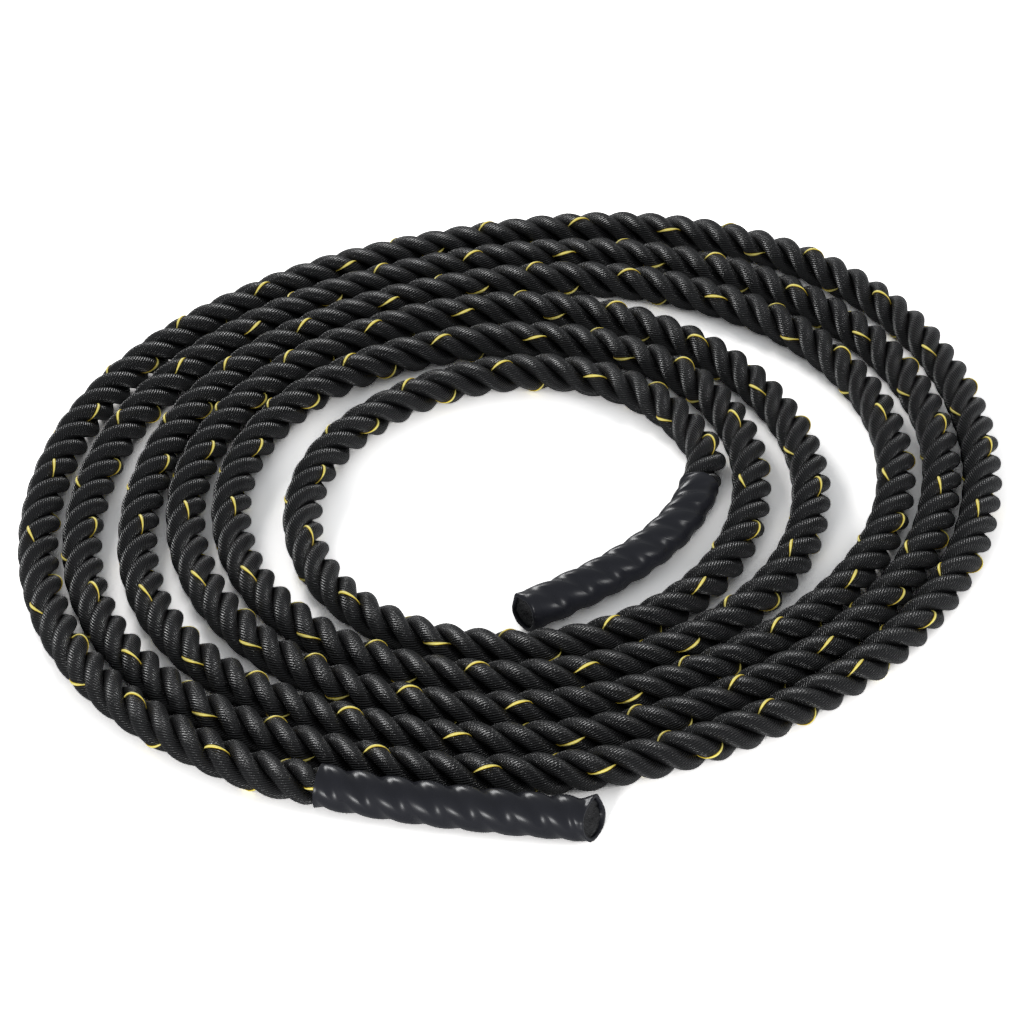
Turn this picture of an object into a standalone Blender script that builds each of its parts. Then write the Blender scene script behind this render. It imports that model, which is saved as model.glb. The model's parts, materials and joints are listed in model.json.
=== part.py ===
# Battle rope lying flat in a loose spiral coil, with a heat-shrink grip sleeve on each end.
# Metres, +Z up, the middle of the footprint on the origin. Run: blender --background --python part.py
import math

import bmesh
import bpy
import numpy as np
from mathutils import Matrix, Vector

# The rope: three strands laid right-handed
ROPE_DIAMETER = 0.038
LAY_LENGTH = 0.089
STRAND_COUNT = 3
STRAND_GAP = 0.0003
PACKING_PASSES = 64
LAID_FLAT_DEPTH_SHARE = 0.1

# The coil, as turns counted outwards from the inner grip's mouth
COIL_TURNS = 5.71
INNER_TURN_RADIUS = 0.182
INNER_END_BEARING = math.radians(352)
TURN_GAP = 0.0010
COIL_LEAN = 0.038
COIL_LEAN_BEARING = math.radians(275)
COIL_OVAL = 0.0097
COIL_OVAL_BEARING = math.radians(53)
LOOP_POINTS = 24

# Where two turns part: turns from the inner mouth, widest gap in rope diameters, half its spread in turns
CRESCENT_SHARES = (
    (1.18, 0.32, 0.20),
    (1.48, 0.96, 0.31),
    (1.99, 0.48, 0.20),
    (2.27, 0.35, 0.22),
    (2.58, 0.12, 0.25),
    (3.09, 1.43, 0.25),
    (3.62, 0.38, 0.11),
    (4.13, 0.28, 0.21),
    (4.55, 0.36, 0.17),
    (5.17, 0.49, 0.14),
    (5.49, 0.16, 0.13),
)

# How the rope leaves the coil for its grips
OUTER_LEAD_TURNS = 0.04
INNER_LEAD_TURNS = 0.08
INNER_MOUTH_TUCK_SHARE = 0.29
INNER_MOUTH_TURN = math.radians(-10)
OUTER_MOUTH_TURN = math.radians(1.5)
LEAD_POINTS = 4

# Grip sleeves, shrunk over the laid strands, and how far each curls along with the turn that it ends
GRIP_LENGTH = 0.25
STRANDS_SQUEEZED_SHARE = 0.905
SLEEVE_WALL = 0.0015
SLEEVE_CLEARANCE = 0.0008
SLEEVE_SAG = 0.0006
FACE_GAP = 0.0003
FLOOR_GAP = 0.0003
OUTER_GRIP_CURL_SHARE = 0.334
INNER_GRIP_CURL_SHARE = 0.56
STATIONS_PER_LAY = 14
SLEEVE_SIDES = 24
STRAND_SIDES = 8

# The gathered end of a sleeve: length of the gathering, then its places from the rim and its waist
GATHER_LENGTH = 0.016
GATHER_SHARES = (
    (0.72, 0.95),
    (0.50, 0.93),
    (0.34, 0.96),
    (0.18, 0.97),
    (0.07, 0.90),
    (0.00, 0.78),
)
SEAL_FRONT_SHARE = 0.30
SEAL_DISH = 0.0015
SEAL_EDGE = 0.002
SEAL_SIDES = 24

CUTTER_OVERRUN = 0.001
CUTTER_MARGIN = 0.1
CUTTER_DEPTH = 0.02
WELD = 0.00001
SHARP_ANGLE = math.radians(50)
MILLIMETRES = 1000


def rope_radius():
    return ROPE_DIAMETER / 2


def coil_height():
    """Height of the rope's middle where it lies on its flattened underside."""
    return rope_radius() - LAID_FLAT_DEPTH_SHARE * ROPE_DIAMETER


def strands_radius():
    """Outside radius of the three strands where a sleeve squeezes them."""
    return rope_radius() * STRANDS_SQUEEZED_SHARE


def grip_radius():
    return strands_radius() + SLEEVE_CLEARANCE + SLEEVE_WALL


def grip_height():
    """Height of a grip's middle, its lobes just clear of the floor."""
    return grip_radius() + FLOOR_GAP


# Route

def swell(offset):
    """A smooth hump, 1 at its middle and 0 at one and beyond."""
    return math.cos(math.pi / 2 * offset) ** 2 if abs(offset) < 1 else 0


def coil_bearing(turns):
    return INNER_END_BEARING + 2 * math.pi * turns


def coil_radius(turns):
    """Spiral, off-centre and slightly oval, and pushed outwards past each crescent gap."""
    bearing = coil_bearing(turns)
    radius = INNER_TURN_RADIUS + (ROPE_DIAMETER + TURN_GAP) * turns
    radius += COIL_LEAN * math.cos(bearing - COIL_LEAN_BEARING)
    radius += COIL_OVAL * math.cos(2 * (bearing - COIL_OVAL_BEARING))
    for place, gap_share, spread in CRESCENT_SHARES:
        for later in range(math.ceil(COIL_TURNS)):
            radius += ROPE_DIAMETER * gap_share * swell((turns - place - later) / spread)
    return radius


def polar(radius, bearing, height):
    return Vector((radius * math.cos(bearing), radius * math.sin(bearing), height))


def coil_point(turns):
    return polar(coil_radius(turns), coil_bearing(turns), coil_height())


def coil_heading(turns):
    """Direction of travel along the rope, inwards through the turns."""
    step = 1 / LOOP_POINTS / LEAD_POINTS
    return (coil_point(turns - step) - coil_point(turns + step)).normalized()


def turned(direction, angle):
    return Matrix.Rotation(angle, 3, "Z") @ direction


def outer_mouth():
    """Place of the outer grip's mouth, moved out as far as the grip is thicker, and its direction."""
    thicker = max(grip_radius() - rope_radius(), 0)
    point = polar(coil_radius(COIL_TURNS) + thicker, coil_bearing(COIL_TURNS), grip_height())
    return point, turned(-coil_heading(COIL_TURNS), OUTER_MOUTH_TURN)


def inner_mouth():
    """Place of the inner grip's mouth, tucked in from the spiral, and the direction of its grip."""
    tuck = ROPE_DIAMETER * INNER_MOUTH_TUCK_SHARE
    point = polar(coil_radius(0) - tuck, coil_bearing(0), grip_height())
    return point, turned(coil_heading(0), INNER_MOUTH_TURN)


def outer_bend():
    """Angle that the outer grip turns through, a share of what the coil turns over the same length."""
    return GRIP_LENGTH / coil_radius(COIL_TURNS) * OUTER_GRIP_CURL_SHARE


def inner_bend():
    return -GRIP_LENGTH / INNER_TURN_RADIUS * INNER_GRIP_CURL_SHARE


def blend(start, start_direction, end, end_direction):
    """Points between two ends of the route, on the cubic that leaves and arrives along their directions."""
    reach = (end - start).length
    points = []
    for step in range(1, LEAD_POINTS):
        t = step / LEAD_POINTS
        near = (1 + 2 * t) * (1 - t) ** 2
        point = start * near + end * (1 - near)
        point += start_direction * reach * t * (1 - t) ** 2
        point -= end_direction * reach * t**2 * (1 - t)
        points.append(point)
    return points


def rope_route():
    """Middle line of the free rope, from mouth to mouth, straight for a diameter at each."""
    outer_end, outward = outer_mouth()
    outer_straight = outer_end - outward * ROPE_DIAMETER
    inner_end, inward = inner_mouth()
    inner_straight = inner_end - inward * ROPE_DIAMETER
    first = math.floor((COIL_TURNS - OUTER_LEAD_TURNS) * LOOP_POINTS)
    last = math.ceil(INNER_LEAD_TURNS * LOOP_POINTS)
    coil = [coil_point(count / LOOP_POINTS) for count in range(first, last - 1, -1)]
    lead_in = blend(outer_straight, -outward, coil[0], coil_heading(first / LOOP_POINTS))
    lead_out = blend(coil[-1], coil_heading(last / LOOP_POINTS), inner_straight, inward)
    return [outer_end, outer_straight, *lead_in, *coil, *lead_out, inner_straight, inner_end]


def grip_route(stations, bend):
    """Middle line of a grip from its mouth at the origin along +X, bending most near the mouth."""
    points = []
    point = Vector((0, 0, 0))
    reached = 0
    for station in stations:
        along = max(reached, 0) / GRIP_LENGTH
        heading = bend * along * (2 - along)
        point = point + Vector((math.cos(heading), math.sin(heading), 0)) * (station - reached)
        points.append(point)
        reached = station
    return points


# Section of the laid rope under a sleeve

def strand_section():
    """Distance of a strand's middle from the rope's, and the two half widths of its slanting section."""
    outside = strands_radius()
    half_angle = math.pi / STRAND_COUNT
    centre = outside / 2
    for _ in range(PACKING_PASSES):
        slant = math.hypot(1, 2 * math.pi * centre / LAY_LENGTH)
        reach = centre * math.sin(half_angle) - STRAND_GAP / 2
        radial = reach / math.hypot(math.sin(half_angle), math.cos(half_angle) * slant)
        centre = outside - radial
    return centre, radial, radial * slant


def strand_profile(index):
    """Outline of one strand's section, an ellipse set off from the rope's middle."""
    centre, radial, across = strand_section()
    turn = 2 * math.pi * index / STRAND_COUNT
    outline = []
    for side in range(STRAND_SIDES):
        angle = 2 * math.pi * side / STRAND_SIDES
        x = centre + radial * math.cos(angle)
        y = across * math.sin(angle)
        outline.append((x * math.cos(turn) - y * math.sin(turn), x * math.sin(turn) + y * math.cos(turn)))
    return outline


def sleeve_radius(angle):
    """Outside of the sleeve's section: over the strands, and stretched between them with a little sag."""
    centre, radial, across = strand_section()
    half_angle = math.pi / STRAND_COUNT
    off_crest = abs((angle + half_angle) % (2 * half_angle) - half_angle)
    flat = math.hypot(radial * math.cos(half_angle), across * math.sin(half_angle))
    flat += centre * math.cos(half_angle)
    bridge = flat / math.cos(half_angle - off_crest)
    a = (math.cos(off_crest) / radial) ** 2 + (math.sin(off_crest) / across) ** 2
    b = centre * math.cos(off_crest) / radial**2
    c = (centre / radial) ** 2 - 1
    root = b * b - a * c
    over_strand = (b + math.sqrt(root)) / a if root > 0 else 0
    touching = math.atan2(across**2 * math.sin(half_angle), centre * flat + radial**2 * math.cos(half_angle))
    radius = over_strand if off_crest < touching else max(bridge, over_strand)
    sag = SLEEVE_SAG * swell((half_angle - off_crest) / half_angle * 2)
    return radius + SLEEVE_CLEARANCE + SLEEVE_WALL - sag


def sleeve_profile(inset):
    """Outline of the sleeve's section, drawn in by the wall for its bore."""
    outline = []
    for side in range(SLEEVE_SIDES):
        angle = 2 * math.pi * side / SLEEVE_SIDES
        radius = sleeve_radius(angle) - inset
        outline.append((radius * math.cos(angle), radius * math.sin(angle)))
    return outline


def body_stations():
    """Distances from the mouth of the sections that a sleeve and its strands share."""
    length = GRIP_LENGTH - GATHER_LENGTH - FACE_GAP
    count = round(length / LAY_LENGTH * STATIONS_PER_LAY)
    return [FACE_GAP + length * step / count for step in range(count + 1)]


# Objects

def new_collection(name):
    collection = bpy.data.collections.new(name)
    bpy.context.scene.collection.children.link(collection)
    return collection


def finish_material(name, colour, roughness):
    material = bpy.data.materials.new(name)
    material.use_nodes = True
    shader = material.node_tree.nodes["Principled BSDF"]
    shader.inputs["Base Color"].default_value = (*colour, 1)
    shader.inputs["Roughness"].default_value = roughness
    shader.inputs["Metallic"].default_value = 0
    return material


def poly_curve(name, points, collection, cyclic=False):
    """Curve object on one straight-sided spline."""
    curve = bpy.data.curves.new(name, "CURVE")
    curve.dimensions = "3D"
    curve.twist_mode = "Z_UP"
    spline = curve.splines.new("POLY")
    spline.points.add(len(points) - 1)
    for control, point in zip(spline.points, points):
        control.co = (*point, 1)
    spline.use_cyclic_u = cyclic
    shape = bpy.data.objects.new(name, curve)
    collection.objects.link(shape)
    return shape


def make_guide(shape):
    shape.hide_render = True
    shape.display_type = "WIRE"
    return shape


def to_mesh(shape, collection):
    """Replaces a curve object by its welded mesh, under the same name."""
    graph = bpy.context.evaluated_depsgraph_get()
    mesh = bpy.data.meshes.new_from_object(shape.evaluated_get(graph))
    work = bmesh.new()
    work.from_mesh(mesh)
    bmesh.ops.remove_doubles(work, verts=work.verts, dist=WELD)
    bmesh.ops.recalc_face_normals(work, faces=work.faces)
    work.to_mesh(mesh)
    work.free()
    name = shape.name
    place = shape.matrix_world.copy()
    bpy.data.objects.remove(shape)
    solid = bpy.data.objects.new(name, mesh)
    solid.matrix_world = place
    collection.objects.link(solid)
    return solid


def make_rope(collection, cutters):
    """The free rope: one tube along all its turns, flattened where it lies."""
    tube = poly_curve("rope", rope_route(), collection)
    tube.data.bevel_depth = rope_radius()
    tube.data.bevel_resolution = 1
    tube.data.use_fill_caps = True
    rope = to_mesh(tube, collection)
    rope.data.materials.append(finish_material("rope_yarn", (0.021, 0.021, 0.024), 0.85))

    width = 2 * (coil_radius(COIL_TURNS) + CUTTER_MARGIN)
    bpy.ops.mesh.primitive_cube_add(size=1, location=(0, 0, -CUTTER_DEPTH / 2))
    floor = make_guide(bpy.context.object)
    floor.name = "floor_cutter"
    floor.data.transform(Matrix.Diagonal((width, width, CUTTER_DEPTH, 1)))
    for holder in list(floor.users_collection):
        holder.objects.unlink(floor)
    cutters.objects.link(floor)
    cut = rope.modifiers.new("flattened_underside", "BOOLEAN")
    cut.operation = "DIFFERENCE"
    cut.solver = "EXACT"
    cut.object = floor
    return [rope]


def laid_shape(name, outline, stations, waists, bend, collection, cutters):
    """A closed section carried along a grip's middle line and turned with the rope's lay."""
    profile = make_guide(poly_curve(f"{name}_section", [(x, y, 0) for x, y in outline], cutters, cyclic=True))
    shape = poly_curve(name, grip_route(stations, bend), collection)
    for control, station, waist in zip(shape.data.splines[0].points, stations, waists):
        control.tilt = 2 * math.pi * station / LAY_LENGTH
        control.radius = waist
    shape.data.bevel_mode = "OBJECT"
    shape.data.bevel_object = profile
    shape.data.use_fill_caps = True
    solid = to_mesh(shape, collection)
    solid.data.shade_smooth()
    solid.data.set_sharp_from_angle(angle=SHARP_ANGLE)
    facets = solid.modifiers.new("facets_along_the_lay", "TRIANGULATE")
    facets.quad_method = "SHORTEST_DIAGONAL"
    return solid


def make_sleeve(name, bend, collection, cutters, material):
    """Hollow lobed sleeve, cut clean at its mouth and gathered inwards at its rim."""
    stations = body_stations()
    waists = [1] * len(stations)
    for from_rim, waist in GATHER_SHARES:
        stations.append(GRIP_LENGTH - GATHER_LENGTH * from_rim)
        waists.append(waist)
    sleeve = laid_shape(name, sleeve_profile(0), stations, waists, bend, collection, cutters)
    sleeve.data.materials.append(material)
    bore_stations = [-CUTTER_OVERRUN, *stations[1:-1], stations[-1] + CUTTER_OVERRUN]
    inside = sleeve_profile(SLEEVE_WALL)
    bore = make_guide(laid_shape(f"{name}_bore", inside, bore_stations, waists, bend, cutters, cutters))
    hollow = sleeve.modifiers.new("bore", "BOOLEAN")
    hollow.operation = "DIFFERENCE"
    hollow.solver = "EXACT"
    hollow.object = bore
    return [sleeve, bore]


def make_strand_end(name, index, bend, collection, cutters, material):
    """One laid strand from the sleeve's mouth to the fused end."""
    stations = body_stations()
    strand = laid_shape(name, strand_profile(index), stations, [1] * len(stations), bend, collection, cutters)
    strand.data.materials.append(material)
    return strand


def make_end_seal(name, bend, collection, material):
    """Melted plug that closes the strands, turned about the grip's middle line, with a shallow dish."""
    waist = min(share for _, share in GATHER_SHARES[:-2])
    radius = sleeve_radius(math.pi / STRAND_COUNT) * waist - SLEEVE_WALL - SLEEVE_CLEARANCE
    back = FACE_GAP
    front = GATHER_LENGTH * (1 - SEAL_FRONT_SHARE)
    outline = [(0, front - SEAL_DISH), (radius - 2 * SEAL_EDGE, front), (radius - SEAL_EDGE, front)]
    outline += [(radius, front - SEAL_EDGE), (radius, back), (0, back)]
    mesh = bpy.data.meshes.new(name)
    edges = [(index, index + 1) for index in range(len(outline) - 1)]
    mesh.from_pydata([(x, 0, z) for x, z in outline], edges, [])
    seal = bpy.data.objects.new(name, mesh)
    collection.objects.link(seal)
    stations = body_stations()
    line = grip_route([*stations, stations[-1] + GATHER_LENGTH / 2], bend)
    along = (line[-1] - line[-2]).normalized()
    seal.location = line[-2]
    seal.rotation_euler = along.to_track_quat("Z", "Y").to_euler()
    turn = seal.modifiers.new("turned_plug", "SCREW")
    turn.steps = SEAL_SIDES
    turn.render_steps = SEAL_SIDES
    turn.use_merge_vertices = True
    turn.merge_threshold = WELD
    mesh.materials.append(material)
    return seal


def make_grip(side, mouth, bend, collection, cutters):
    """Sleeve, strand ends and end seal of one grip, in a frame at its mouth with +X along the grip."""
    point, heading = mouth
    frame = bpy.data.objects.new(f"{side}_grip_frame", None)
    frame.location = point
    frame.rotation_euler = (0, 0, math.atan2(heading.y, heading.x))
    collection.objects.link(frame)
    plastic = finish_material(f"{side}_sleeve_plastic", (0.017, 0.017, 0.020), 0.38)
    yarn = finish_material(f"{side}_strand_yarn", (0.021, 0.021, 0.024), 0.85)
    melted = finish_material(f"{side}_melted_yarn", (0.010, 0.010, 0.011), 0.60)
    sleeve, bore = make_sleeve(f"{side}_grip_sleeve", bend, collection, cutters, plastic)
    bore.parent = frame
    pieces = [sleeve]
    for index in range(STRAND_COUNT):
        name = f"{side}_strand_end_{index + 1}"
        pieces.append(make_strand_end(name, index, bend, collection, cutters, yarn))
    pieces.append(make_end_seal(f"{side}_end_seal", bend, collection, melted))
    for piece in pieces:
        piece.parent = frame
    return [frame], pieces


def rest_on_origin(top_objects, pieces):
    """Moves the whole part so that the middle of its footprint is on the origin."""
    bpy.context.view_layer.update()
    graph = bpy.context.evaluated_depsgraph_get()
    corners = []
    for piece in pieces:
        shape = piece.evaluated_get(graph)
        mesh = shape.to_mesh()
        places = np.empty(len(mesh.vertices) * 3)
        mesh.vertices.foreach_get("co", places)
        world = np.array(shape.matrix_world)
        places = places.reshape(-1, 3) @ world[:3, :3].T + world[:3, 3]
        corners += [places.min(axis=0), places.max(axis=0)]
        shape.to_mesh_clear()
    low = np.min(corners, axis=0)
    high = np.max(corners, axis=0)
    shift = Vector((-(low[0] + high[0]) / 2, -(low[1] + high[1]) / 2, 0))
    for item in top_objects:
        item.location = item.location + shift
    size = (high - low) * MILLIMETRES
    print(f"size {size[0]:.1f} x {size[1]:.1f} x {size[2]:.1f} mm")
    return shift


def print_measures(shift):
    """Prints the rope's length, its least gap to itself and to the grips, and a place on its underside."""
    route = rope_route()
    dense = []
    lengths = [0]
    for start, end in zip(route, route[1:]):
        for part in range(LEAD_POINTS):
            dense.append(start.lerp(end, part / LEAD_POINTS))
            lengths.append(lengths[-1] + (end - start).length / LEAD_POINTS)
    places = np.array(dense)[:, :2]
    along = np.array(lengths[:-1])
    apart = np.linalg.norm(places[:, None] - places[None], axis=2)
    same_stretch = np.abs(along[:, None] - along[None]) < 3 * ROPE_DIAMETER
    gap = apart[~same_stretch].min() - ROPE_DIAMETER
    print(f"free rope {lengths[-1]:.3f} m, least gap to itself {gap * MILLIMETRES:.2f} mm")
    for mouth, bend in ((outer_mouth(), outer_bend()), (inner_mouth(), inner_bend())):
        point, heading = mouth
        turn = math.atan2(heading.y, heading.x)
        grip = [turned(p, turn) + point for p in grip_route(body_stations(), bend)]
        beyond = np.array([p for p in grip if (p - point).length > 2 * ROPE_DIAMETER])[:, :2]
        reach = np.linalg.norm(beyond[:, None] - places[None], axis=2).min()
        print(f"grip to coil {(reach - rope_radius() - grip_radius()) * MILLIMETRES:.2f} mm")
    rest = coil_point(round(COIL_TURNS / 2 * LOOP_POINTS) / LOOP_POINTS) + shift
    print(f"underside at {rest.x:.4f} {rest.y:.4f} 0, shift {shift.x:.5f} {shift.y:.5f}")


def main():
    for item in list(bpy.data.objects):
        bpy.data.objects.remove(item)
    parts = new_collection("battle_rope")
    cutters = new_collection("guides_and_cutters")
    rope = make_rope(parts, cutters)
    outer_frame, outer_pieces = make_grip("outer", outer_mouth(), outer_bend(), parts, cutters)
    inner_frame, inner_pieces = make_grip("inner", inner_mouth(), inner_bend(), parts, cutters)
    shift = rest_on_origin(rope + outer_frame + inner_frame, rope + outer_pieces + inner_pieces)
    print_measures(shift)


main()
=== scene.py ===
# Battle rope in a loose coil: three laid black strands, a yellow tracer yarn and two shrunk grip sleeves.
import json
import math

import bpy
import numpy as np
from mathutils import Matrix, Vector

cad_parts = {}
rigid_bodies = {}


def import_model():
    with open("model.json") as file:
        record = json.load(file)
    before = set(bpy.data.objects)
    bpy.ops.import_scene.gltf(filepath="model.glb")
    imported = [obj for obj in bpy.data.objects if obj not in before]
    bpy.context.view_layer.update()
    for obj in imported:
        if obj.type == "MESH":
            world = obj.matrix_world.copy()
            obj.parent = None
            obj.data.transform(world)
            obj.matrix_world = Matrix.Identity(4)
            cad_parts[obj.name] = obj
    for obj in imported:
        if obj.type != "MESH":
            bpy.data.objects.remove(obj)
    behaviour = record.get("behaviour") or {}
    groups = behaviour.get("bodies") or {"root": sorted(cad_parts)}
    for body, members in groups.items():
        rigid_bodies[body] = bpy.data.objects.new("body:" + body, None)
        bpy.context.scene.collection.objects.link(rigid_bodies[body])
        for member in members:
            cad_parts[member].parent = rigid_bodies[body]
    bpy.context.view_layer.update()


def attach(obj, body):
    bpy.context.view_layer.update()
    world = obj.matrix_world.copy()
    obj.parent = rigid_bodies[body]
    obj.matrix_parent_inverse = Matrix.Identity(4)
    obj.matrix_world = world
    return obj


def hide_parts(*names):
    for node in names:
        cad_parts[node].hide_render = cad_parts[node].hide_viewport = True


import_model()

turn = 2 * math.pi
scene = bpy.context.scene

# The rope as laid. Lengths are in metres throughout.
rope = {
    "diameter": 0.038,
    "layLength": 0.089,
    "strands": 3,
    "yarns": 21,  # round one strand
    "strandTurnsPerLay": 2.75,  # how often a yarn comes to the outside in one lay
    "yarnCrowding": 0.18,  # yarns lie closer on the crown than inside
    "height": 0.0187,
    "layStart": math.radians(52),
    "layDrifts": ((0.05, 0.83, 1.1), (0.04, 1.37, 0.4)),  # each a sine: angle, length, phase
    "driftFade": 0.2,  # the drifts fade away over this length before each sleeve
}

# The coil, as turns counted outwards from the inner grip's mouth
coil = {
    "turns": 5.71,
    "innerTurnRadius": 0.182,
    "innerEndBearing": math.radians(352),
    "turnGap": 0.001,
    "lean": 0.038,
    "leanBearing": math.radians(275),
    "oval": 0.0097,
    "ovalBearing": math.radians(53),
    # where two turns part: turns from the inner mouth, widest gap in rope diameters, half its spread in turns
    "crescents": (
        (1.18, 0.32, 0.20),
        (1.48, 0.96, 0.31),
        (1.99, 0.48, 0.20),
        (2.27, 0.35, 0.22),
        (2.58, 0.12, 0.25),
        (3.09, 1.43, 0.25),
        (3.62, 0.38, 0.11),
        (4.13, 0.28, 0.21),
        (4.55, 0.36, 0.17),
        (5.17, 0.49, 0.14),
        (5.49, 0.16, 0.13),
    ),
    "outerLeadTurns": 0.04,
    "innerLeadTurns": 0.08,
    "innerTuckShare": 0.29,
    "innerMouthTurn": math.radians(-10),
    "outerMouthTurn": math.radians(1.5),
    "footprintShift": (0.00268, 0.02902),
    "points": 1300,
    "leadPoints": 24,
    "headingReach": 0.01,  # turns to each side of a point, for its heading
}

# The grip sleeves, shrunk over the laid strands
grip = {
    "length": 0.25,
    "squeeze": 0.905,
    "squeezeLength": 0.007,
    "wall": 0.0015,
    "clearance": 0.0008,
    "sag": 0.0006,
    "floorGap": 0.0003,
    "strandHalfGap": 0.00015,
    "outerCurl": 0.334,
    "innerCurl": 0.56,
    "linePoints": 250,
    "mouthFlare": 0.012,
    "mouthRound": (0.985, 0.6),  # the circle that the mouth runs into, as a share of the crests, and how far
    "rimRound": 0.97,
    "beadRise": 0.0006,  # the cut edge curls up a little
    "beadWidth": 0.0014,
    "gatherLength": 0.022,
    "gatherPlaces": (1.0, 0.75, 0.50, 0.30, 0.12, 0.04, 0.0),  # from the rim, as shares of the gathering
    "rimReach": 0.06,  # how far back from the rim its leaning cut pulls the skin
    "mouthReach": 0.05,
    "foldHeight": 0.00016,
    "folds": ((1.0, 9, 0, 0.7), (0.7, 14, 40, 2.0), (0.5, 23, 0, 1.0)),  # share, times round, per metre, phase
    "rippleHeight": 0.00007,
    "rippleBeat": 0.031,
    "fineRipple": ((1.0, 5, 90, 0.0),),
    "broadRipple": ((0.6, 3, -130, 0.5),),
    "sides": 144,
    "step": 0.00125,
}
# How each sleeve differs. Bearings go about its middle line from the left over the top.
rims = {
    "outer": {
        "past": -0.009,  # the rim lies this far past the modelled length
        "lean": math.radians(23),  # of the cut at the rim
        "leanTo": math.radians(37),
        "mouthPast": 0.001,
        "mouthLean": math.radians(6),
        "mouthLeanTo": math.radians(41),
        "squeezeFrom": 0.0075,  # the strands start to narrow this far before the mouth
        "lobeDepths": (0.70, 0.46),  # share of the strands' depth that shows, at the mouth and at the rim
        "lobeSide": (0.14, math.radians(125)),  # more depth to this side
        "softening": math.radians(15),
        "lip": 0.0018,
        "waists": (1.0, 1.0, 0.99, 0.985, 1.0, 1.01, 1.0),
        "gatherBlend": 0.35,
        "corners": (  # bearing, rise, half width
            (math.radians(131), 0.0030, math.radians(34)),
            (math.radians(195), 0.0010, math.radians(24)),
            (math.radians(255), -0.0024, math.radians(52)),
            (math.radians(312), 0.0008, math.radians(26)),
        ),
    },
    "inner": {
        "past": 0.004,
        "lean": math.radians(8),
        "leanTo": math.radians(45),
        "mouthPast": 0.0,
        "mouthLean": 0.0,
        "mouthLeanTo": 0.0,
        "squeezeFrom": 0.006,
        "lobeDepths": (0.62, 0.50),
        "lobeSide": (0.10, math.radians(140)),
        "softening": math.radians(7),
        "lip": 0.0021,
        "waists": (1.0, 1.0, 0.995, 0.985, 0.955, 0.92, 0.895),
        "gatherBlend": 0.6,
        "corners": (
            (math.radians(141), 0.0030, math.radians(26)),
            (math.radians(95), -0.0008, math.radians(28)),
            (math.radians(20), -0.0016, math.radians(46)),
            (math.radians(300), 0.0010, math.radians(36)),
        ),
    },
}
gripRadius = rope["diameter"] / 2 * grip["squeeze"] + grip["clearance"] + grip["wall"]
gripHeight = gripRadius + grip["floorGap"]


# Curves and sums that several pieces use

def swell(offset):
    # a hump, the square of a cosine: 1 at its middle and 0 at one and beyond
    return np.where(np.abs(offset) < 1, np.cos(np.pi / 2 * offset) ** 2, 0)


def eased(share):
    # from 0 to 1 with a level start and end: share squared times 3 less twice the share
    return share * share * (3 - 2 * share)


def wrapped(angle):
    # the same angle between minus and plus half a turn
    return (angle + np.pi) % turn - np.pi


def waves(angle, x, parts):
    # a sum of sines round and along
    return sum(
        share * np.sin(times * angle + perMetre * x + phase) for share, times, perMetre, phase in parts
    )


# Route of the middle line

def coilBearing(turns):
    return coil["innerEndBearing"] + turn * turns


def coilRadius(turns):
    # a spiral that grows a diameter and a gap each turn, plus a lean, an oval and a hump for each crescent
    bearing = coilBearing(turns)
    radius = coil["innerTurnRadius"] + (rope["diameter"] + coil["turnGap"]) * turns
    radius = radius + coil["lean"] * np.cos(bearing - coil["leanBearing"])
    radius = radius + coil["oval"] * np.cos(2 * (bearing - coil["ovalBearing"]))
    for place, gapShare, spread in coil["crescents"]:
        for later in range(math.ceil(coil["turns"])):
            radius = radius + rope["diameter"] * gapShare * swell((turns - place - later) / spread)
    return radius


def polar(radius, bearing):
    return np.stack([radius * np.cos(bearing), radius * np.sin(bearing)], axis=-1)


def coilPoint(turns):
    return polar(coilRadius(turns), coilBearing(turns))


def coilHeading(turns):
    # direction of travel, inwards through the turns
    along = coilPoint(turns - coil["headingReach"]) - coilPoint(turns + coil["headingReach"])
    return along / np.linalg.norm(along)


def turned(direction, angle):
    # a flat direction turned by an angle, or by each of many angles
    c, s = np.cos(angle), np.sin(angle)
    return np.stack([c * direction[0] - s * direction[1], s * direction[0] + c * direction[1]], axis=-1)


def leadCurve(start, startDirection, end, endDirection):
    # the cubic that leaves the start and reaches the end along their directions, without its two ends
    t = np.linspace(0, 1, coil["leadPoints"] + 2)[1:-1, None]
    reach = np.linalg.norm(end - start)
    near = (1 + 2 * t) * (1 - t) ** 2
    leave = startDirection * reach * t * (1 - t) ** 2
    arrive = endDirection * reach * t**2 * (1 - t)
    return start * near + end * (1 - near) + leave - arrive


def gripLine(mouth, heading, bend):
    # from the mouth on, turning most near it: the heading turns by bend times a(2 - a) at the share a of the length
    share = np.linspace(0, 1, grip["linePoints"] + 1)
    steps = turned(heading, bend * share * (2 - share))
    middle = (steps[1:] + steps[:-1]) / 2 * grip["length"] / grip["linePoints"]
    return np.vstack([mouth, mouth + np.cumsum(middle, axis=0)])


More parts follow.
